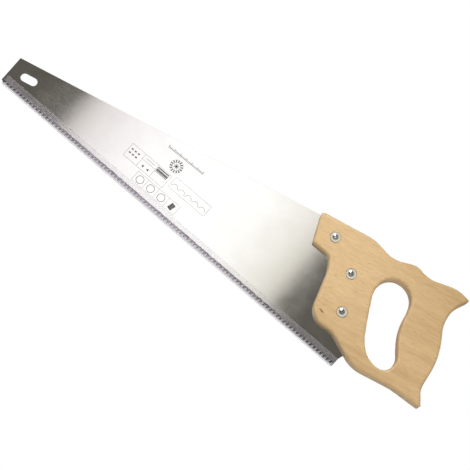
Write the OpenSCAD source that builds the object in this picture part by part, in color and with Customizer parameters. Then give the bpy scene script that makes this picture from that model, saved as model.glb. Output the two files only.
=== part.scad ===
// Panel hand saw with a closed wooden handle, three saw screws and a clip-on tooth guard.
// The saw is held upright in its working attitude: X runs along the tooth line from the toe to
// the handle, Z points from the teeth to the back, and Y is the thickness, with the blade's
// middle plane at Y = 0. The origin is the middle of the hand grip. The screw heads are on -Y.

/* [Blade] */
// Length of the tooth line
blade_len = 450; // [300:5:650]
// Width of the blade at the toe
toe_w = 31.5; // [24:0.5:45]
// Plain length between the last tooth and the toe edge
toe_land = 2.8; // [1:0.1:6]
// Lean of the toe edge away from square to the teeth, in degrees
toe_lean = 1.5; // [0:0.5:15]
// Sheet thickness of the blade
blade_t = 0.9; // [0.6:0.05:1.2]
// Step of the handle's front top corner above the blade's back
back_step = 2.2; // [0.5:0.1:5]

/* [Teeth] */
// Distance from tooth to tooth
tooth_pitch = 4.5; // [2.5:0.1:6]
// Depth of the teeth
tooth_h = 3; // [1.5:0.1:4]
// Lean of the cutting front of each tooth from upright, in degrees
tooth_rake = 12; // [0:1:25]
// Square part of the heel edge above the teeth
heel_square = 9; // [4:0.5:12]

/* [Hang slot] */
// Overall length of the slot near the toe
slot_len = 18.6; // [12:0.1:26]
// Width of the slot
slot_w = 8.8; // [5:0.1:12]
// Distance from the toe end of the tooth line to the slot's middle
slot_inset = 18.6; // [14:0.1:30]
// Height of the slot's middle above the middle of the blade's width
slot_rise = 1.5; // [-3:0.1:3]

/* [Tooth guard] */
// Height of the guard strip
guard_h = 10.8; // [8:0.1:16]
// Thickness of each side wall of the guard
guard_wall = 0.8; // [0.5:0.05:1.5]
// Thickness of the guard's floor under the teeth
guard_floor = 1.2; // [0.8:0.1:2]
// Gap between the tooth tips and the guard's floor
guard_tip_gap = 0.6; // [0.3:0.1:1.5]
// Gap between each side of the blade and the guard's wall
guard_side_gap = 0.5; // [0.35:0.05:0.8]

/* [Handle] */
// Height of the handle, from its lower bulge to its upper horn
handle_h = 131; // [105:1:160]
// Thickness of the handle
handle_t = 23; // [18:0.5:28]
// Gap between the blade and each side of its kerf in the handle
kerf_gap = 0.1; // [0.05:0.05:0.3]
// Gap between the blade's hidden rear edge and the end of the kerf
kerf_end_gap = 0.6; // [0.3:0.1:2]

/* [Saw screws] */
// Diameter of the screw and nut heads
head_d = 11; // [9:0.1:14]
// Thickness of the screw head's rim
head_rim = 0.9; // [0.5:0.1:1.5]
// Height of the dome above the rim of the screw head
head_dome = 2.1; // [1:0.1:3]
// Diameter of the screw's shank
shank_d = 4.9; // [4:0.1:6]
// Gap around the shank in the nut
thread_gap = 0.05; // [0.02:0.01:0.1]
// Wall of the nut's sleeve
sleeve_wall = 1; // [0.6:0.1:1.5]
// Gap around the sleeve and the shank in the wood and the blade
bore_gap = 0.15; // [0.1:0.05:0.3]
// Depth of the seat cut for each screw head
head_seat = 0.7; // [0.3:0.1:1.5]
// Thickness of the nut's flat head
nut_head_t = 1.8; // [1.4:0.1:2.5]
// Depth of the nut's flat head below the handle's face
nut_flush = 0.2; // [0.1:0.1:0.5]
// Gap around each head in its seat
seat_gap = 0.4; // [0.2:0.1:0.8]
// Length of the arms of the cross recess, from tip to tip
recess_l = 6.4; // [3:0.1:8]
// Width of the arms of the cross recess and of the nut's slot
recess_w = 1.4; // [0.8:0.1:1.8]
// Depth of the cross recess
recess_h = 1.8; // [1:0.1:2.4]
// Depth of the nut's slot
nut_slot_h = 0.9; // [0.6:0.1:1.2]

/* [Hidden] */
arc_step = 4;       // degrees of turn for each straight piece of an outline's round stretch
past = 1;           // how far a cutting solid runs past the face that it cuts

// The handle is drawn at this height and scaled to handle_h.
drawn_h = 131;
hs = handle_h / drawn_h;

// Handle outline, clockwise from the front top corner: [x, z, radius].
handle_path = [
    [-164, 40, 3],          // front top corner
    [-103.4, 53.4, 45],     // end of the straight top edge
    [-75.9, 49.9, 29],      // first hollow
    [-52.1, 61.8, 16.7],    // crest over the finger hole
    [-35.4, 58.2, 34.7],    // second hollow
    [-5, 70.7, 41.5],       // rise of the upper horn
    [11.6, 69, 1.6],        // tip of the upper horn
    [-0.8, 42.2, 37],       // hollow for the web of the thumb
    [25, 3.6, 85],          // swell of the palm side
    [30.6, -34.5, 20],      // hollow above the lower horn
    [43.5, -50, 1.8],       // tip of the lower horn
    [7.7, -52.5, 70],       // lower edge
    [-37.2, -63.2, 40],     // lower bulge
    [-75.1, -49.2, 30],     // hollow where the heel leaves the handle
    [-103.7, -52.4, 20.2],  // nose
    [-119.4, -3.5, 30],     // front edge over the blade
    [-128.5, 9.5, 9],       // inner corner of the front edge
    [-150.5, 9.5, 1.8]      // front point
];
// Finger hole outline, clockwise from the upper left: [x, z, radius].
hole_path = [
    [-71.5, 13.3, 26.1],
    [-67.5, 35.5, 17.8],
    [-36.6, 39.3, 20.8],
    [-29.3, 17.3, 25.3],
    [-26.6, -0.8, 63.3],
    [-12.4, -20, 37.5],
    [-4.9, -27.9, 16.7],
    [-7.2, -46.9, 11.3],
    [-28.2, -47.6, 29.1],
    [-43.9, -35.8, 46.3],
    [-56.2, -15.3, 70]
];
// Centres of the three saw screws, from the top down.
screw_at = [[-136, 27.7], [-99, 8.9], [-80.8, -27.6]];
// Heel end of the tooth line, on the tooth tips.
heel = [-53, -74.2] * hs;
// Rear edge of the blade from the heel upwards, hidden in the handle from its second point on.
tang_path = [[-52.8, heel_square + heel[1] / hs], [-49.8, -56], [-55, -40], [-85, 14]];
// Place along X where the blade's back ends, hidden in the handle.
tang_top_x = -112;

toe = [heel[0] - blade_len, heel[1]];
toe_corner = toe + [-toe_land, tooth_h / 2];
toe_top = toe + [-toe_land - toe_w * tan(toe_lean), toe_w];
// The blade's back runs from the toe to just under the handle's front top corner.
back_front = [handle_path[0][0], handle_path[0][1]] * hs - [0, back_step];
back_slope = atan2(back_front[1] - toe_top[1], back_front[0] - toe_top[0]);
back_end = [tang_top_x * hs, toe_top[1] + (tang_top_x * hs - toe_top[0]) * tan(back_slope)];
slot_at = toe + [slot_inset, (toe_w + (slot_inset + toe_land) * tan(back_slope)) / 2 + slot_rise];

kerf_t = blade_t + 2 * kerf_gap;
half_t = handle_t / 2;
bore_d = shank_d + 2 * thread_gap;
sleeve_d = bore_d + 2 * sleeve_wall;
nut_seat = nut_head_t + nut_flush;
sleeve_end = -handle_t / 4;                     // the sleeve ends in the near cheek
shank_end = half_t - nut_seat - handle_t / 8;   // the shank ends short of the nut's head
bore_end = shank_end + past;
guard_in = blade_t + 2 * guard_side_gap;
guard_out = guard_in + 2 * guard_wall;
guard_z = heel[1] - guard_tip_gap - guard_floor;

function unit(v) = v / norm(v);

// Points of the arc that rounds the corner p between its neighbours a and b.
function corner(a, p, b, r) =
    let (u = unit(a - p), v = unit(b - p),
         half = acos(u * v) / 2,
         centre = p + unit(u + v) * r / sin(half),
         from = p + u * r / tan(half) - centre,
         to = p + v * r / tan(half) - centre,
         start = atan2(from[1], from[0]),
         turn = (atan2(to[1], to[0]) - start + 540) % 360 - 180,
         steps = max(1, ceil(abs(turn) / arc_step)))
    [for (i = [0:steps]) let (w = start + turn * i / steps) centre + r * [cos(w), sin(w)]];

// A closed outline whose every corner [x, z, radius] is rounded, scaled to the handle's size.
function rounded(path) =
    let (n = len(path), at = [for (p = path) [p[0], p[1]] * hs])
    [for (i = [0:n - 1]) each corner(at[(i + n - 1) % n], at[i], at[(i + 1) % n], path[i][2] * hs)];

// The teeth from heel to toe: from each tip the steep front, on the toe's side, runs up to the
// gullet, and the long back of the next tooth runs down from there.
function teeth() =
    let (n = round(blade_len / tooth_pitch), pitch = blade_len / n, front = tooth_h * tan(tooth_rake))
    concat([for (i = [0:n - 1]) let (tip = heel - [i * pitch, 0]) each [tip, tip + [-front, tooth_h]]],
           [toe]);

// A flat outline in X and Z made into a plate with its middle plane at Y = 0.
module plate(t) {
    rotate([90, 0, 0]) linear_extrude(height = t, center = true) children();
}

// A round bar along Y between two heights.
module bar(d, from, to) {
    translate([0, from, 0]) rotate([-90, 0, 0]) cylinder(d = d, h = to - from, $fn = 64);
}

module at_screw(i) {
    translate([screw_at[i][0] * hs, 0, screw_at[i][1] * hs]) children();
}

module hang_slot() {
    translate(slot_at) rotate(back_slope) {
        square([slot_len - slot_w, slot_w], center = true);
        for (side = [-1, 1]) translate([side * (slot_len - slot_w) / 2, 0]) circle(d = slot_w, $fn = 64);
    }
}

module blade() {
    tang = [for (p = tang_path) p * hs];
    color("silver")
    difference() {
        plate(blade_t) difference() {
            polygon(concat([toe_top, back_end], [for (i = [len(tang) - 1:-1:0]) tang[i]],
                           teeth(), [toe_corner]));
            hang_slot();
        }
        for (i = [0:2]) at_screw(i) bar(sleeve_d + 2 * bore_gap, -blade_t, blade_t);
    }
}

module tooth_guard() {
    color("lavender", 0.5)
    difference() {
        translate([toe[0], -guard_out / 2, guard_z]) cube([blade_len, guard_out, guard_h]);
        translate([toe[0] - past, -guard_in / 2, guard_z + guard_floor])
            cube([blade_len + 2 * past, guard_in, guard_h]);
    }
}

// The slot that takes the blade: the blade's hidden rear edge, moved back by the end gap.
module kerf() {
    gap = [kerf_end_gap, 0];
    rear = [for (i = [1:len(tang_path) - 1]) tang_path[i] * hs + gap];
    above = [0, handle_h];
    plate(kerf_t)
        polygon(concat([[rear[0][0], toe[1]]], rear,
                       [back_end + gap, back_end + gap + above, toe_top + above, toe]));
}

module handle() {
    seat_d = head_d + 2 * seat_gap;
    color("burlywood")
    difference() {
        plate(handle_t) difference() {
            polygon(rounded(handle_path));
            polygon(rounded(hole_path));
        }
        kerf();
        for (i = [0:2]) at_screw(i) {
            bar(shank_d + 2 * bore_gap, -half_t - past, 0);
            bar(sleeve_d + 2 * bore_gap, sleeve_end - bore_gap, half_t + past);
            bar(seat_d, -half_t - past, -half_t + head_seat);
            bar(seat_d, half_t - nut_seat, half_t + past);
        }
    }
}

// A domed screw with a cross recess; its head lies on the floor of its seat.
module screw(i) {
    under = -half_t + head_seat;
    rim = under - head_rim;
    ball = (pow(head_d / 2, 2) + pow(head_dome, 2)) / (2 * head_dome);
    color("gainsboro")
    at_screw(i) difference() {
        union() {
            bar(shank_d, under - past / 2, shank_end);
            bar(head_d, rim, under);
            intersection() {
                translate([0, rim - head_dome + ball, 0]) sphere(r = ball, $fn = 96);
                bar(head_d, rim - head_dome - past, rim + head_rim / 2);
            }
        }
        for (turn = [0, 90]) translate([0, rim - head_dome, 0]) rotate([0, 45 + turn, 0])
            cube([recess_l, 2 * recess_h, recess_w], center = true);
    }
}

// A flat slotted nut, let in just below the wood, with a sleeve that passes through the blade.
module nut(i) {
    face = half_t - nut_flush;
    color("gainsboro")
    at_screw(i) difference() {
        union() {
            bar(head_d, face - nut_head_t, face);
            bar(sleeve_d, sleeve_end, face - nut_head_t / 2);
        }
        bar(bore_d, sleeve_end - past, bore_end);
        translate([0, face, 0]) rotate([0, 60, 0]) cube([head_d + past, 2 * nut_slot_h, recess_w], center = true);
    }
}

module screw_upper() { screw(0); }
module screw_middle() { screw(1); }
module screw_lower() { screw(2); }
module nut_upper() { nut(0); }
module nut_middle() { nut(1); }
module nut_lower() { nut(2); }

blade();
tooth_guard();
handle();
screw_upper();
screw_middle();
screw_lower();
nut_upper();
nut_middle();
nut_lower();
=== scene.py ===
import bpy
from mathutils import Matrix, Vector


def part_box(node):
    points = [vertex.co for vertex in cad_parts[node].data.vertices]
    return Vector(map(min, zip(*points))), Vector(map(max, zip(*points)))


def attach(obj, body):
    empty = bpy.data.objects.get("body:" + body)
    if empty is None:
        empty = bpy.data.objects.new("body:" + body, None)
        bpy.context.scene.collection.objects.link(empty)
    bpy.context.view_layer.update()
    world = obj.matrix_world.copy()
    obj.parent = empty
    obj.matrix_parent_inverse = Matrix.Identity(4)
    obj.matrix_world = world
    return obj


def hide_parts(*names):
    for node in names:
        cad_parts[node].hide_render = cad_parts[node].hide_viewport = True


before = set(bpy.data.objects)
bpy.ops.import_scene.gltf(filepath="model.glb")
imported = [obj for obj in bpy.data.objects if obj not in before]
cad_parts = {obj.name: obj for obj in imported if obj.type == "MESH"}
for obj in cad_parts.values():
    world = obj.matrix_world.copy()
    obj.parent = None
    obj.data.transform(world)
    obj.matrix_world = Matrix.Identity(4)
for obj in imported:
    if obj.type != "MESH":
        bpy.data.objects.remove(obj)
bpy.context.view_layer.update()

import math

import bmesh
import bpy
from mathutils import Matrix, Vector


# ---- Blade ----
# One sheet of carbon steel, rolled, polished and cut to a taper, with a slot near the toe to hang
# it by. The gullets are ground from the two faces in turn, the teeth are set to alternate sides,
# and their tips are hardened, which leaves them blue-black. The handle's kerf takes its rear end.

blade_low, blade_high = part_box("blade")
same_point = 1e-6           # points closer than this are one
same_plane = 1e-5           # a point closer than this to a plane lies on it
tooth_h = 0.003
gullet_grind = 0.0015       # how much higher a gullet reaches on the face that it is ground from
tooth_set = 0.0002
sheet_edge = 0.00012        # rounding of the sheet's cut edges
hard_band = 0.0013          # height of the blued band above the gullets
band_fade = 0.0006          # over which the blueing runs out
gullet_z = blade_low.z + tooth_h
band_z = gullet_z + hard_band + 0.0004


def reworked(node):
    """A copy of a CAD node's mesh, welded, with each flat face whole again."""
    made = bmesh.new()
    made.from_mesh(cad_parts[node].data)
    bmesh.ops.remove_doubles(made, verts=made.verts, dist=same_point)
    bmesh.ops.dissolve_limit(made, angle_limit=math.radians(0.5), verts=made.verts, edges=made.edges)
    return made


def new_piece(name, made, materials, body, replaced=(), crease=32):
    """Turns a bmesh into a piece that rides on a body. It is smooth up to the crease angle, in
    degrees, but for the faces square to Y, which are flat."""
    mesh = bpy.data.meshes.new(name)
    made.to_mesh(mesh)
    made.free()
    mesh.set_sharp_from_angle(angle=math.radians(crease))
    for face in mesh.polygons:
        face.use_smooth = crease > 0 and abs(face.normal.y) < 0.9999
    for material in materials:
        mesh.materials.append(material)
    piece = bpy.data.objects.new(name, mesh)
    bpy.context.scene.collection.objects.link(piece)
    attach(piece, body)
    if replaced:
        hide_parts(*replaced)
    return piece


def new_material(name, **sockets):
    """A material with one Principled BSDF whose named sockets are set, as (tree, shader, material)."""
    material = bpy.data.materials.new(name)
    material.use_nodes = True
    shader = material.node_tree.nodes["Principled BSDF"]
    for socket, value in sockets.items():
        shader.inputs[socket.replace("_", " ")].default_value = value
    return material.node_tree, shader, material


def node(tree, kind, inputs=(), **settings):
    """A shader node with its settings, and its inputs set to values or linked to sockets."""
    made = tree.nodes.new("ShaderNode" + kind)
    for name, value in settings.items():
        setattr(made, name, value)
    for name, value in dict(inputs).items():
        if isinstance(value, bpy.types.NodeSocket):
            tree.links.new(value, made.inputs[name])
        else:
            made.inputs[name].default_value = value
    return made


def ramp(tree, factor, *stops):
    """A colour ramp through (position, colour) stops, as its colour socket."""
    made = node(tree, "ValToRGB", {"Fac": factor})
    band = made.color_ramp
    while len(band.elements) < len(stops):
        band.elements.new(1.0)
    for element, (position, colour) in zip(band.elements, stops):
        element.position = position
        element.color = colour if len(colour) == 4 else (*colour, 1)
    return made.outputs["Color"]


def scratch_group():
    """Fine polishing lines along one direction: a mask and a height, from stretched noise."""
    group = bpy.data.node_groups.new("polishing_lines", "ShaderNodeTree")
    interface = group.interface
    vector = interface.new_socket("Vector", in_out="INPUT", socket_type="NodeSocketVector")
    vector.default_value = (0, 0, 0)
    fine = interface.new_socket("Lines per metre", in_out="INPUT", socket_type="NodeSocketFloat")
    fine.default_value = 2000
    interface.new_socket("Mask", in_out="OUTPUT", socket_type="NodeSocketFloat")
    interface.new_socket("Height", in_out="OUTPUT", socket_type="NodeSocketFloat")
    start = group.nodes.new("NodeGroupInput")
    end = group.nodes.new("NodeGroupOutput")
    stretched = node(group, "Mapping", {"Vector": start.outputs["Vector"], "Scale": (30, 1, 1)},
                     vector_type="TEXTURE")
    lines = node(group, "TexNoise", {"Vector": stretched.outputs["Vector"],
                                     "Scale": start.outputs["Lines per metre"], "Detail": 3,
                                     "Roughness": 0.6})
    broad = node(group, "TexNoise", {"Vector": start.outputs["Vector"], "Scale": 45, "Detail": 2})
    both = node(group, "Math", {0: lines.outputs["Fac"], 1: broad.outputs["Fac"]}, operation="MULTIPLY")
    group.links.new(both.outputs["Value"], end.inputs["Mask"])
    group.links.new(lines.outputs["Fac"], end.inputs["Height"])
    return group


polishing_lines = scratch_group()


def use_lines(tree, lines_per_metre):
    """The polishing lines on an object's own coordinates, as (mask, height)."""
    place = node(tree, "TexCoord").outputs["Object"]
    lines = node(tree, "Group", node_tree=polishing_lines)
    tree.links.new(place, lines.inputs["Vector"])
    lines.inputs["Lines per metre"].default_value = lines_per_metre
    return lines.outputs["Mask"], lines.outputs["Height"]


def polished_steel():
    """Satin polished sheet steel, with the blued band along the teeth."""
    tree, shader, material = new_material("polished_sheet_steel", Metallic=1.0)
    mask, height = use_lines(tree, 2600)
    place = node(tree, "TexCoord").outputs["Object"]
    up = node(tree, "SeparateXYZ", {"Vector": place}).outputs["Z"]
    wander = node(tree, "TexNoise", {"Vector": place, "Scale": 160, "Detail": 2}).outputs["Fac"]
    line = node(tree, "MapRange", {"Value": wander, "From Min": 0.3, "From Max": 0.7,
                                   "To Min": -0.0003, "To Max": 0.0003}).outputs["Result"]
    above = node(tree, "Math", {0: up, 1: line}, operation="ADD").outputs["Value"]
    blued = node(tree, "MapRange", {"Value": above, "From Min": gullet_z + hard_band,
                                    "From Max": gullet_z + hard_band - band_fade}).outputs["Result"]
    sheen = ramp(tree, mask, (0.1, (0.57, 0.565, 0.555)), (0.45, (0.645, 0.64, 0.63)))
    oxide = ramp(tree, wander, (0.3, (0.13, 0.115, 0.14)), (0.7, (0.24, 0.215, 0.25)))
    colour = node(tree, "Mix", {"Factor": blued, 6: sheen, 7: oxide}, data_type="RGBA")
    tree.links.new(colour.outputs[2], shader.inputs["Base Color"])
    soft = node(tree, "MapRange", {"Value": mask, "From Min": 0.1, "From Max": 0.5,
                                   "To Min": 0.06, "To Max": 0.1}).outputs["Result"]
    rough = node(tree, "Mix", {"Factor": blued, 2: soft, 3: 0.2}, data_type="FLOAT").outputs[0]
    tree.links.new(rough, shader.inputs["Roughness"])
    bump = node(tree, "Bump", {"Strength": 0.05, "Distance": 0.00002, "Height": height})
    tree.links.new(bump.outputs["Normal"], shader.inputs["Normal"])
    return material


def ground_steel():
    """The bright faces that the wheel leaves in the gullets."""
    tree, shader, material = new_material("ground_gullet_steel", Metallic=1.0)
    mask, height = use_lines(tree, 9000)
    colour = ramp(tree, mask, (0.1, (0.66, 0.64, 0.66)), (0.5, (0.82, 0.8, 0.82)))
    tree.links.new(colour, shader.inputs["Base Color"])
    rough = node(tree, "MapRange", {"Value": mask, "To Min": 0.28, "To Max": 0.45}).outputs["Result"]
    tree.links.new(rough, shader.inputs["Roughness"])
    bump = node(tree, "Bump", {"Strength": 0.2, "Distance": 0.00002, "Height": height})
    tree.links.new(bump.outputs["Normal"], shader.inputs["Normal"])
    return material


def cut_teeth(made):
    """Grinds the gullets from the two faces in turn and sets the teeth to alternate sides."""
    for side in (-1, 1):
        face_y = side * blade_high.y
        row = sorted((v for v in made.verts if abs(v.co.y - face_y) < same_plane),
                     key=lambda v: -v.co.x)
        gullets = [v for v in row if abs(v.co.z - gullet_z) < same_plane]
        tips = [v for v in row if abs(v.co.z - blade_low.z) < same_plane]
        ground = gullets[0 if side < 0 else 1::2]
        bmesh.ops.translate(made, verts=ground, vec=(0, 0, gullet_grind))
        for first, lean in ((0, -1), (1, 1)):
            bmesh.ops.translate(made, verts=tips[first::2], vec=(0, lean * tooth_set, 0))


blade = reworked("blade")
cut_edges = [e for e in blade.edges if len(e.link_faces) == 2
             and abs(abs(e.link_faces[0].normal.y) - abs(e.link_faces[1].normal.y)) > 0.9
             and min(v.co.z for v in e.verts) > gullet_z + 0.0001]
bmesh.ops.bevel(blade, geom=cut_edges, offset=sheet_edge, offset_type="OFFSET", segments=2,
                profile=0.5, affect="EDGES", material=-1, clamp_overlap=True)
bmesh.ops.bisect_plane(blade, geom=blade.verts[:] + blade.edges[:] + blade.faces[:],
                       plane_co=(0, 0, band_z), plane_no=(0, 0, 1))
in_band = [f for f in blade.faces if f.calc_center_bounds().z < band_z]
for face in in_band:
    face.material_index = 1 if abs(face.normal.y) < 0.5 else 0
cut_teeth(blade)
bmesh.ops.triangulate(blade, faces=in_band)
new_piece("blade_sheet", blade, [polished_steel(), ground_steel()], "saw",
          ["blade"], crease=0)


# ---- Print on the blade ----
# A thin coat of grey ink, screen-printed on the near face: plain panels with simple signs, a ring
# and a graduated scale. It carries no words.

ink_y = blade_low.y - 0.000002
ink_t = 0.00002
hair = 0.00028              # width of a panel's line
stroke = 0.0006             # width of a drawn line


def ink_bar(made, x, z, length, width, turn=0.0):
    """A bar of ink centred on x and z, its length turned up from +X."""
    place = Matrix.Translation((x, ink_y - ink_t / 2, z)) @ Matrix.Rotation(-turn, 4, "Y")
    bmesh.ops.create_cube(made, size=1, matrix=place @ Matrix.Diagonal((length, ink_t, width, 1)))


def ink_hoop(made, x, z, radius, width, steps=32, turn=2 * math.pi, start=0.0):
    """A hoop of ink, or an arc of one, spun from a small square section."""
    section = bmesh.ops.create_grid(made, x_segments=1, y_segments=1, size=0.5)["verts"]
    shape = Matrix.Translation((radius, ink_y - ink_t / 2, 0)) @ Matrix.Diagonal((width, ink_t, 1, 1))
    place = Matrix.Translation((x, 0, z)) @ Matrix.Rotation(-start, 4, "Y") @ shape
    bmesh.ops.transform(made, matrix=place, verts=section)
    face = section[0].link_faces[0]
    swept = [*section, *face.edges]
    whole = turn == 2 * math.pi
    if whole:
        bmesh.ops.delete(made, geom=[face], context="FACES_ONLY")
    else:
        swept.append(face)
    bmesh.ops.spin(made, geom=swept, cent=(x, 0, z), axis=(0, -1, 0), angle=turn, steps=steps,
                   use_merge=whole)


def ink_panel(made, x0, x1, z0, z1, cells=1):
    """A panel outlined with thin lines and divided into cells."""
    for z in (z0, z1):
        ink_bar(made, (x0 + x1) / 2, z, x1 - x0 + hair, hair)
    for i in range(cells + 1):
        ink_bar(made, x0 + (x1 - x0) * i / cells, (z0 + z1) / 2, hair, z1 - z0 - hair)


def ink_sign(made, x, z, corners, radius, turn=0.0):
    """A filled sign with a few corners, such as a triangle."""
    flat = Matrix.Translation((x, ink_y, z)) @ Matrix.Rotation(math.pi / 2, 4, "X")
    sign = bmesh.ops.create_circle(made, cap_ends=True, segments=corners, radius=radius,
                                   matrix=flat @ Matrix.Rotation(turn, 4, "Z"))["verts"]
    grown = bmesh.ops.extrude_face_region(made, geom=[sign[0].link_faces[0]])["geom"]
    bmesh.ops.translate(made, verts=[v for v in grown if isinstance(v, bmesh.types.BMVert)],
                        vec=(0, -ink_t, 0))


def printed_ink():
    """Worn grey ink, thinner in places."""
    tree, shader, material = new_material("printed_grey_ink", Roughness=0.5)
    place = node(tree, "TexCoord").outputs["Object"]
    wear = node(tree, "TexNoise", {"Vector": place, "Scale": 900, "Detail": 3}).outputs["Fac"]
    colour = ramp(tree, wear, (0.35, (0.05, 0.045, 0.045)), (0.7, (0.17, 0.16, 0.16)))
    tree.links.new(colour, shader.inputs["Base Color"])
    bump = node(tree, "Bump", {"Strength": 0.2, "Distance": 0.00002, "Height": wear})
    tree.links.new(bump.outputs["Normal"], shader.inputs["Normal"])
    return material


ink = bmesh.new()

# The upper left panel: six dashes, two rules over two triangles, and a comb.
ink_panel(ink, -0.3585, -0.3055, -0.0495, -0.0335, cells=3)
for column in range(3):
    for line in range(2):
        ink_bar(ink, -0.3550 + 0.0042 * column, -0.0385 - 0.0045 * line, 0.0024, 0.0016)
ink_bar(ink, -0.3318, -0.0395, 0.0176, hair)
ink_bar(ink, -0.3318, -0.0365, 0.0120, stroke * 0.6)
for x in (-0.3352, -0.3288):
    ink_sign(ink, x, -0.0452, 3, 0.0019, math.pi / 2)
comb_x, comb_z, comb_l, comb_teeth = -0.3150, -0.0372, 0.0148, 10
ink_bar(ink, comb_x, comb_z + 0.0018, comb_l, 0.0014)
ink_bar(ink, comb_x, comb_z - 0.0008, comb_l, 0.0022)
for i in range(comb_teeth):
    tooth_x = comb_x + comb_l * ((i + 0.5) / comb_teeth - 0.5)
    ink_bar(ink, tooth_x, comb_z - 0.0028, 0.0008, 0.0022)

# The lower panel: three hoops and a leaning block.
ink_panel(ink, -0.3350, -0.2776, -0.0640, -0.0522, cells=4)
for x in (-0.3278, -0.3135, -0.2991):
    ink_hoop(ink, x, -0.0581, 0.0042, stroke)
ink_bar(ink, -0.2848, -0.0581, 0.0075, 0.0052, math.radians(75))

# The upper right panel: a row of arcs.
ink_panel(ink, -0.3015, -0.2535, -0.0440, -0.0310)
for i in range(5):
    ink_hoop(ink, -0.2960 + 0.0092 * i, -0.0410, 0.0038, hair * 1.4, steps=12, turn=math.pi)

# The ring of segments around a star of four bars.
ring_x, ring_z, ring_r, ring_segments = -0.3089, -0.0225, 0.0058, 14
ink_hoop(ink, ring_x, ring_z, 0.0071, hair)
ink_hoop(ink, ring_x, ring_z, 0.0044, hair)
for i in range(ring_segments):
    angle = 2 * math.pi * i / ring_segments
    ink_bar(ink, ring_x + ring_r * math.cos(angle), ring_z + ring_r * math.sin(angle),
            0.0027, 0.0013, angle)
for i in range(4):
    ink_bar(ink, ring_x, ring_z, 0.0062, 0.0007, math.pi * i / 4)

# The graduated scale, with every fifth mark a tall one.
scale_x, scale_z, scale_step, scale_rise = -0.3285, -0.0125, 0.0015, 0.00004
for i in range(31):
    tall = 0.0034 if i % 5 == 0 else 0.0022
    ink_bar(ink, scale_x + scale_step * i, scale_z + scale_rise * i + tall / 2, 0.0007, tall)

bmesh.ops.recalc_face_normals(ink, faces=ink.faces)
new_piece("blade_print", ink, [printed_ink()], "saw", crease=0)


# ---- Handle ----
# One piece of steamed beech, sawn to shape with the grain along the blade's back, its edges rounded
# over with a cutter and rubbed down, then lacquered. A kerf from the front takes the blade.

handle_low, handle_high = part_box("handle")
round_over = 0.003
round_steps = 12
tip_weld = 0.00008          # points closer than this, or than the cut, run together at a tip
seat_d = 0.0118
grain_rise = math.radians(13.2)
slit_mark_at = (-0.0975, handle_low.y, -0.0405)  # a small dark slit mark on the near cheek
slit_mark_l = 0.0072
slit_mark_w = 0.0017
slit_mark_deep = 0.006
slit_mark_turn = math.radians(8)


def screw_places():
    """Where the three saw screws cross the blade's middle plane."""
    for name in ("screw_upper", "screw_middle", "screw_lower"):
        low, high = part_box(name)
        yield Vector(((low.x + high.x) / 2, 0, (low.z + high.z) / 2))


def is_seat(edge):
    """True for an edge on the rim of a screw's or nut's seat."""
    middle = (edge.verts[0].co + edge.verts[1].co) / 2
    return any(Vector((middle.x - place.x, 0, middle.z - place.z)).length < seat_d * 0.6
               for place in screw_places())


def cheek_rim(made):
    """The edges between the faces marked as the cheek and the wall around them."""
    return [e for e in made.edges if len(e.link_faces) == 2
            and e.link_faces[0].material_index != e.link_faces[1].material_index]


def round_cheek(made, side):
    """Rounds a cheek's outline over by a quarter circle, as a chain of small insets."""
    cheek_y = side * handle_high.y
    for face in made.faces:
        face.material_index = int(all(abs(v.co.y - cheek_y) < same_plane for v in face.verts))
    bmesh.ops.split_edges(made, edges=[e for e in cheek_rim(made) if is_seat(e)])
    turns = [math.pi / 2 * i / round_steps for i in range(round_steps + 1)]
    cuts = [round_over * (math.cos(a) - math.cos(b)) for a, b in zip(turns, turns[1:])]
    cuts.append(0.0002)
    for turn, cut in zip(turns, cuts):
        cheek = [f for f in made.faces if f.material_index]
        ring = bmesh.ops.inset_region(made, faces=cheek, thickness=cut, use_even_offset=True)["faces"]
        for face in ring:
            face.material_index = 0
        inner = sorted({v for e in cheek_rim(made) for v in e.verts}, key=lambda v: v.co[:])
        outer = {v for f in ring for v in f.verts} - set(inner)
        drop = round_over * (1 - math.sin(turn))
        bmesh.ops.translate(made, verts=list(outer), vec=(0, -side * drop, 0))
        bmesh.ops.remove_doubles(made, verts=inner, dist=max(tip_weld, cut))
    cheek = [f for f in made.faces if f.material_index]
    around = [e for e in made.edges if sum(f.material_index for f in e.link_faces) == 1]
    bmesh.ops.delete(made, geom=cheek, context="FACES_KEEP_BOUNDARY")
    bmesh.ops.triangle_fill(made, edges=around, use_beauty=True, normal=(0, side, 0))
    bmesh.ops.remove_doubles(made, verts=[v for v in made.verts if v.is_boundary], dist=same_point)


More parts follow.
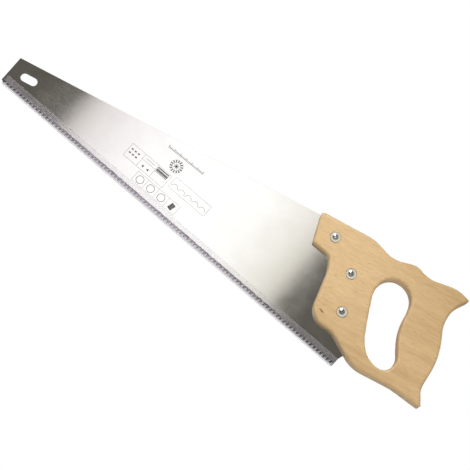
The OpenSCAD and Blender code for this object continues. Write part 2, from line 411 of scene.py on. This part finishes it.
def lacquered_beech():
    """Pale beech with growth bands, fine fibre and the short dark flecks of its rays, and painted shade
    that darkens it towards its rear and top and towards its bottom.
    """
    tree, shader, material = new_material("lacquered_beech", Coat_Weight=0.35, Coat_Roughness=0.3,
                                          Specular_IOR_Level=0.35)
    place = node(tree, "TexCoord").outputs["Object"]
    drift = node(tree, "TexNoise", {"Vector": place, "Scale": 14, "Detail": 1}).outputs["Color"]
    bent = node(tree, "Mix", {"Factor": 0.012, "A": place, "B": drift}, data_type="VECTOR").outputs[1]

    def along(length):
        return node(tree, "Mapping", {"Vector": bent, "Rotation": (0, -grain_rise, 0),
                                      "Scale": (length, 1, 1)}, vector_type="TEXTURE").outputs["Vector"]

    bands = node(tree, "TexNoise", {"Vector": along(14), "Scale": 120, "Detail": 4,
                                    "Roughness": 0.55}).outputs["Fac"]
    fibre = node(tree, "TexNoise", {"Vector": along(25), "Scale": 1500, "Detail": 3}).outputs["Fac"]
    rays = node(tree, "TexNoise", {"Vector": along(9), "Scale": 1900, "Detail": 1}).outputs["Fac"]
    cloud = node(tree, "TexNoise", {"Vector": place, "Scale": 22, "Detail": 2}).outputs["Fac"]
    wood = ramp(tree, bands, (0.28, (0.52, 0.35, 0.175)), (0.5, (0.665, 0.47, 0.252)),
                (0.75, (0.72, 0.53, 0.30)))
    warm = node(tree, "Mix", {"Factor": cloud, 6: wood, 7: (0.66, 0.455, 0.236, 1)},
                data_type="RGBA").outputs[2]
    # Painted shade: the wood is darkened towards the rear and top of the handle and towards its bottom,
    # where it is less lit.
    axes = node(tree, "SeparateXYZ", {"Vector": place}).outputs
    rear = node(tree, "MapRange", {"Value": axes["X"], "From Min": -0.11,
                                   "From Max": 0.01}).outputs["Result"]
    upper = node(tree, "MapRange", {"Value": axes["Z"], "From Min": -0.05, "From Max": 0.06,
                                    "To Min": 0.2}).outputs["Result"]
    lower = node(tree, "MapRange", {"Value": axes["Z"], "From Min": -0.01, "From Max": -0.05,
                                    "To Max": 0.62}).outputs["Result"]
    painted_shade = node(tree, "Math", {0: rear, 1: upper}, operation="MULTIPLY").outputs["Value"]
    painted_shade = node(tree, "Math", {0: painted_shade, 1: lower}, operation="SMOOTH_MAX").outputs["Value"]
    shaded_wood = node(tree, "Mix", {"Factor": painted_shade, 6: warm, 7: (0.77, 0.74, 0.66, 1)},
                 data_type="RGBA", blend_type="MULTIPLY").outputs[2]
    streak = ramp(tree, fibre, (0.3, (0.84, 0.82, 0.79)), (0.62, (1.0, 1.0, 1.0)))
    fibred = node(tree, "Mix", {"Factor": 1.0, 6: shaded_wood, 7: streak}, data_type="RGBA",
                  blend_type="MULTIPLY").outputs[2]
    fleck = ramp(tree, rays, (0.66, (1, 1, 1)), (0.72, (0.74, 0.66, 0.58)))
    flecked = node(tree, "Mix", {"Factor": 0.8, 6: fibred, 7: fleck}, data_type="RGBA",
                   blend_type="MULTIPLY").outputs[2]
    # A small dark slit mark on the near cheek: the wood is darkened inside a thin, turned ellipse.
    slit_mark_place = node(tree, "Mapping", {"Vector": place, "Location": slit_mark_at,
                                    "Rotation": (0, slit_mark_turn, 0),
                                    "Scale": (slit_mark_l / 2, slit_mark_deep, slit_mark_w / 2)},
                  vector_type="TEXTURE").outputs["Vector"]
    inside = node(tree, "VectorMath", {0: slit_mark_place}, operation="LENGTH").outputs["Value"]
    slit_mark = node(tree, "MapRange", {"Value": inside, "From Min": 1.1,
                                   "From Max": 0.6}).outputs["Result"]
    marked = node(tree, "Mix", {"Factor": slit_mark, 6: flecked, 7: (0.16, 0.08, 0.035, 1)},
                  data_type="RGBA").outputs[2]
    tree.links.new(marked, shader.inputs["Base Color"])
    rough = node(tree, "MapRange", {"Value": fibre, "From Min": 0.3, "From Max": 0.7,
                                    "To Min": 0.5, "To Max": 0.38}).outputs["Result"]
    tree.links.new(rough, shader.inputs["Roughness"])
    bump = node(tree, "Bump", {"Strength": 0.25, "Distance": 0.00004, "Height": fibre})
    tree.links.new(bump.outputs["Normal"], shader.inputs["Normal"])
    return material


handle = reworked("handle")
for side in (-1, 1):
    round_cheek(handle, side)
bmesh.ops.recalc_face_normals(handle, faces=handle.faces)
new_piece("wooden_handle", handle, [lacquered_beech()], "saw", ["handle"])


# ---- Saw screws and nuts ----
# Three turned steel screws with domed heads and a cross recess, bright nickel plated. Each is drawn
# up into a flat slotted nut whose sleeve passes through the handle and the blade.

head_rim = 0.0009
head_dome = 0.0021
dome_steps = 10
shank_r = 0.00245
head_edge = 0.00018         # rounding of the heads' edges
recess_l = 0.0064
recess_w = 0.0014
recess_h = 0.0018
nut_head_t = 0.0018
nut_slot_h = 0.0009
bore_r = 0.0025
sleeve_r = 0.0035
bore_depth = 0.01335


def turned(profile, place, steps=72):
    """A solid turned about an axis along Y through place, from (radius, y) points."""
    made = bmesh.new()
    line = [made.verts.new((place.x + radius, y, place.z)) for radius, y in profile]
    edges = [made.edges.new(pair) for pair in zip(line, line[1:])]
    bmesh.ops.spin(made, geom=line + edges, cent=place, axis=(0, 1, 0), angle=2 * math.pi,
                   steps=steps, use_merge=True)
    bmesh.ops.remove_doubles(made, verts=made.verts, dist=same_point)
    bmesh.ops.recalc_face_normals(made, faces=made.faces)
    return made


def slot_cutter(place, face_y, depth, length, width, turn, taper=1.0):
    """A bar across the axis that cuts a slot into a face at face_y. Taper narrows its inner end."""
    made = bmesh.new()
    cube = bmesh.ops.create_cube(made, size=1)["verts"]
    bmesh.ops.scale(made, verts=[v for v in cube if v.co.y > 0], vec=(taper, 1, taper))
    put = Matrix.Translation((place.x, face_y, place.z)) @ Matrix.Rotation(turn, 4, "Y")
    bmesh.ops.transform(made, verts=cube, matrix=put @ Matrix.Diagonal((length, 2 * depth, width, 1)))
    return made


def cut_away(made, cutters):
    """Cuts the cutters out of a solid and returns what is left as a new bmesh."""
    mesh = bpy.data.meshes.new("blank")
    made.to_mesh(mesh)
    made.free()
    blank = bpy.data.objects.new("blank", mesh)
    bpy.context.scene.collection.objects.link(blank)
    tools = []
    for cutter in cutters:
        tool_mesh = bpy.data.meshes.new("cutter")
        cutter.to_mesh(tool_mesh)
        cutter.free()
        tool = bpy.data.objects.new("cutter", tool_mesh)
        bpy.context.scene.collection.objects.link(tool)
        tools.append(tool)
        cut = blank.modifiers.new("cut", "BOOLEAN")
        cut.object, cut.operation, cut.solver = tool, "DIFFERENCE", "EXACT"
    left = bmesh.new()
    left.from_object(blank, bpy.context.evaluated_depsgraph_get())
    for spent in (blank, *tools):
        bpy.data.objects.remove(spent)
    return left


def nickel_plate():
    """Bright nickel with faint turning marks."""
    tree, shader, material = new_material("nickel_plate", Metallic=1.0)
    mask, height = use_lines(tree, 5000)
    colour = ramp(tree, mask, (0.1, (0.72, 0.7, 0.66)), (0.5, (0.86, 0.85, 0.82)))
    tree.links.new(colour, shader.inputs["Base Color"])
    rough = node(tree, "MapRange", {"Value": mask, "To Min": 0.06, "To Max": 0.16}).outputs["Result"]
    tree.links.new(rough, shader.inputs["Roughness"])
    bump = node(tree, "Bump", {"Strength": 0.04, "Distance": 0.00002, "Height": height})
    tree.links.new(bump.outputs["Normal"], shader.inputs["Normal"])
    return material


plated = nickel_plate()
for which, place in zip(("upper", "middle", "lower"), screw_places()):
    low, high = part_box("screw_" + which)
    head_r = (high.x - low.x) / 2
    rim_y = low.y + head_dome
    under_y = rim_y + head_rim
    ball = (head_r ** 2 + head_dome ** 2) / (2 * head_dome)
    sweep = math.asin(head_r / ball)
    dome = [(ball * math.sin(sweep * i / dome_steps),
             low.y + ball - ball * math.cos(sweep * i / dome_steps))
            for i in reversed(range(dome_steps))]
    profile = [(0, high.y), (shank_r - 2 * head_edge, high.y), (shank_r, high.y - 2 * head_edge),
               (shank_r, under_y), (head_r - head_edge, under_y), (head_r, under_y - head_edge),
               (head_r, rim_y + head_edge), (head_r - head_edge / 3, rim_y)] + dome
    cross = [slot_cutter(place, low.y, recess_h, recess_l, recess_w, math.radians(45 + 90 * i), 0.6)
             for i in range(2)]
    new_piece("saw_screw_" + which, cut_away(turned(profile, place), cross), [plated], "saw",
              ["screw_" + which])

    low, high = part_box("nut_" + which)
    face_y = high.y
    head_y = face_y - nut_head_t
    profile = [(0, low.y + bore_depth), (bore_r, low.y + bore_depth), (bore_r, low.y),
               (sleeve_r - head_edge, low.y), (sleeve_r, low.y + head_edge), (sleeve_r, head_y),
               (head_r - head_edge, head_y), (head_r, head_y + head_edge),
               (head_r, face_y - head_edge), (head_r - head_edge, face_y), (0, face_y)]
    slot = slot_cutter(place, face_y, nut_slot_h, 3 * head_r, recess_w, math.radians(60))
    new_piece("saw_nut_" + which, cut_away(turned(profile, place), [slot]), [plated], "saw",
              ["nut_" + which])


# ---- Tooth guard ----
# A strip of clear, faintly lilac plastic, extruded in a U and cut to the length of the tooth line.
# It clips over the teeth and pulls straight off.

guard_edge = 0.00028


def clear_plastic():
    """Clear extruded plastic: more of it shows edge on, and around the teeth it carries painted shade,
    darker, metallic and more opaque, for the shade and refraction in the channel.
    """
    tree, shader, material = new_material("clear_lilac_plastic", IOR=1.5)
    mask, height = use_lines(tree, 1200)
    place = node(tree, "TexCoord").outputs["Object"]
    up = node(tree, "SeparateXYZ", {"Vector": place}).outputs["Z"]
    beside = node(tree, "MapRange", {"Value": up, "From Min": gullet_z,
                                     "From Max": gullet_z - 0.0008}).outputs["Result"]
    walls = node(tree, "MapRange", {"Value": up, "From Min": blade_low.z - 0.0010,
                                    "From Max": blade_low.z - 0.0004}).outputs["Result"]
    # Painted shade: where the teeth sit, the plastic is made dark grey, metallic and more opaque,
    # standing in for the shade and refraction inside the channel.
    teeth_shade = node(tree, "Math", {0: beside, 1: walls}, operation="MULTIPLY").outputs["Value"]
    clear = ramp(tree, mask, (0.1, (0.66, 0.63, 0.70)), (0.5, (0.76, 0.74, 0.80)))
    colour = node(tree, "Mix", {"Factor": teeth_shade, 6: clear, 7: (0.36, 0.32, 0.37, 1)},
                  data_type="RGBA").outputs[2]
    tree.links.new(colour, shader.inputs["Base Color"])
    tree.links.new(teeth_shade, shader.inputs["Metallic"])
    rough = node(tree, "MapRange", {"Value": mask, "To Min": 0.1, "To Max": 0.3}).outputs["Result"]
    tree.links.new(rough, shader.inputs["Roughness"])
    edge = node(tree, "LayerWeight", {"Blend": 0.5}).outputs["Facing"]
    solid = node(tree, "MapRange", {"Value": edge, "From Min": 0.1, "From Max": 0.9, "To Min": 0.07,
                                    "To Max": 0.7}).outputs["Result"]
    shade_and_edge_opacity = node(tree, "Math", {0: teeth_shade, 1: 0.2, 2: solid}, operation="MULTIPLY_ADD")
    thick = node(tree, "Math", {0: 1.0, 1: walls}, operation="SUBTRACT").outputs["Value"]
    shown = node(tree, "Math", {0: thick, 1: 0.12, 2: shade_and_edge_opacity.outputs["Value"]},
                 operation="MULTIPLY_ADD").outputs["Value"]
    tree.links.new(shown, shader.inputs["Alpha"])
    bump = node(tree, "Bump", {"Strength": 0.1, "Distance": 0.00005, "Height": height})
    tree.links.new(bump.outputs["Normal"], shader.inputs["Normal"])
    return material


guard = reworked("tooth_guard")
long_edges = [e for e in guard.edges
              if abs((e.verts[0].co - e.verts[1].co).normalized().x) > 0.99]
bmesh.ops.bevel(guard, geom=long_edges, offset=guard_edge, offset_type="OFFSET", segments=3,
                profile=0.5, affect="EDGES", material=-1, clamp_overlap=True)
new_piece("guard_strip", guard, [clear_plastic()], "guard",
          ["tooth_guard"], crease=0)


# ---- Studio ----
# A pale floor well below the saw, a soft key light from above the toe, a low fill and a rear light,
# a tall white reflector and a shaded room that the polished blade mirrors, and the camera.

floor_size = 16
floor_z = -0.6
floor_lift = 0.36           # how much lighter the camera sees the floor than its light makes it


def studio_material(name, colour, glow):
    """A plain matt surface of the studio that looks a little lighter than its light makes it."""
    tree, shader, material = new_material(name, Roughness=0.7, Emission_Color=(1, 1, 0.99, 1))
    seen = node(tree, "LightPath").outputs["Is Camera Ray"]
    lift = node(tree, "Math", {0: seen, 1: glow}, operation="MULTIPLY").outputs["Value"]
    tree.links.new(lift, shader.inputs["Emission Strength"])
    place = node(tree, "TexCoord").outputs["Object"]
    grain = node(tree, "TexNoise", {"Vector": place, "Scale": 3, "Detail": 2}).outputs["Fac"]
    tone = ramp(tree, grain, (0.0, [0.97 * c for c in colour]), (1.0, colour))
    tree.links.new(tone, shader.inputs["Base Color"])
    return material


def plane(name, size_x, size_y, place, material):
    """A flat rectangle that belongs to the studio."""
    made = bmesh.new()
    bmesh.ops.create_grid(made, x_segments=1, y_segments=1, size=0.5,
                          matrix=place @ Matrix.Diagonal((size_x, size_y, 1, 1)))
    mesh = bpy.data.meshes.new(name)
    made.to_mesh(mesh)
    made.free()
    mesh.materials.append(material)
    sheet = bpy.data.objects.new(name, mesh)
    bpy.context.scene.collection.objects.link(sheet)
    return sheet


ground = plane("floor", floor_size, floor_size, Matrix.Translation((0, 0, floor_z)),
               studio_material("floor_paper", (0.86, 0.86, 0.85), floor_lift))
ground.visible_glossy = False

reflector_x0, reflector_x1 = -0.985, -0.262
reflector_y, reflector_z = -3.0, 0.4
reflector_h = 1.7
reflector_glow = 1.75


def reflector_paper():
    """A lit card, brightest in its middle and falling off to grey at its two long edges."""
    material = bpy.data.materials.new("reflector_paper")
    material.use_nodes = True
    tree = material.node_tree
    tree.nodes.clear()
    place = node(tree, "TexCoord").outputs["Object"]
    across = node(tree, "SeparateXYZ", {"Vector": place}).outputs["X"]
    share = node(tree, "MapRange", {"Value": across, "From Min": reflector_x0,
                                    "From Max": reflector_x1}).outputs["Result"]
    shade = ramp(tree, share, (0.0, (0.62, 0.58, 0.55)), (0.1, (0.8, 0.76, 0.76)),
                 (0.27, (0.94, 0.93, 0.94)), (0.4, (1, 1, 1)), (0.7, (1, 1, 0.99)),
                 (0.87, (0.86, 0.84, 0.79)), (1.0, (0.66, 0.63, 0.56)))
    light = node(tree, "Emission", {"Color": shade, "Strength": reflector_glow})
    tree.links.new(light.outputs["Emission"], node(tree, "OutputMaterial").inputs["Surface"])
    return material


upright = (Matrix.Translation(((reflector_x0 + reflector_x1) / 2, reflector_y, reflector_z))
           @ Matrix.Rotation(-math.pi / 2, 4, "X"))
reflector = plane("reflector", reflector_x1 - reflector_x0, reflector_h, upright, reflector_paper())
reflector.visible_camera = False


def soft_light(name, place, aim, size, watts, colour):
    """A square soft box at place that points at aim."""
    lamp = bpy.data.lights.new(name, "AREA")
    lamp.shape, lamp.size, lamp.energy, lamp.color = "SQUARE", size, watts, colour
    stand = bpy.data.objects.new(name, lamp)
    bpy.context.scene.collection.objects.link(stand)
    stand.location = place
    stand.rotation_euler = (Vector(aim) - Vector(place)).to_track_quat("-Z", "Y").to_euler()
    return stand


saw_middle = (-0.15, 0, 0)
soft_light("key_light", (-0.85, -1.05, 0.8), saw_middle, 0.5, 17, (1.0, 0.985, 0.95))
low_fill = soft_light("low_light", (0.8, -0.8, -0.4), saw_middle, 0.45, 2.5, (1.0, 0.99, 0.97))
low_fill.visible_glossy = False     # the blade would mirror it as a hard white patch
soft_light("rear_light", (1.2, 3.6, 3.0), saw_middle, 2.5, 130, (0.97, 0.98, 1.0))

eye = Vector((-0.0605, -1.9553, -0.4278))
aim = Vector((-0.2161, 0, -0.0370))
roll = math.radians(40.68)
focal_length = 148.5
sensor_width = 36
look = (aim - eye).normalized()
right = look.cross(Vector((-math.sin(roll), 0, math.cos(roll)))).normalized()
up = right.cross(look)
lens = bpy.data.cameras.new("camera")
lens.sensor_width, lens.lens, lens.clip_end = sensor_width, focal_length, 50
camera = bpy.data.objects.new("camera", lens)
bpy.context.scene.collection.objects.link(camera)
camera.matrix_world = Matrix.Translation(eye) @ Matrix((right, up, -look)).transposed().to_4x4()
bpy.context.scene.camera = camera
bpy.context.scene.view_settings.view_transform = "Standard"

# The room is white to the camera. The metal mirrors it as dark in the direction of the camera, light
# to the sides and grey behind the saw.
ambient_light = 0.42
world = bpy.data.worlds.new("studio")
bpy.context.scene.world = world
world.use_nodes = True
sky = world.node_tree
sky.nodes.clear()
path = node(sky, "LightPath").outputs
toward = node(sky, "VectorMath", {0: node(sky, "TexCoord").outputs["Generated"],
                                  1: (look.x, -look.y, look.z)}, operation="DOT_PRODUCT")
room = ramp(sky, toward.outputs["Value"], (-0.3, (0.3, 0.29, 0.28)), (0.3, (0.95, 0.94, 0.92)),
            (0.62, (0.75, 0.74, 0.7)), (0.8, (0.2, 0.19, 0.17)), (0.9, (0.15, 0.14, 0.118)))
ambient = node(sky, "Background", {"Color": (1.0, 0.99, 0.97, 1), "Strength": ambient_light})
mirrored = node(sky, "Background", {"Color": room, "Strength": 1.0})
seen = node(sky, "Background", {"Color": (1, 1, 1, 1), "Strength": 1.0})
unseen = node(sky, "MixShader", {0: path["Is Glossy Ray"], 1: ambient.outputs[0],
                                 2: mirrored.outputs[0]})
whole = node(sky, "MixShader", {0: path["Is Camera Ray"], 1: unseen.outputs[0],
                                2: seen.outputs[0]})
sky.links.new(whole.outputs[0], node(sky, "OutputWorld").inputs["Surface"])
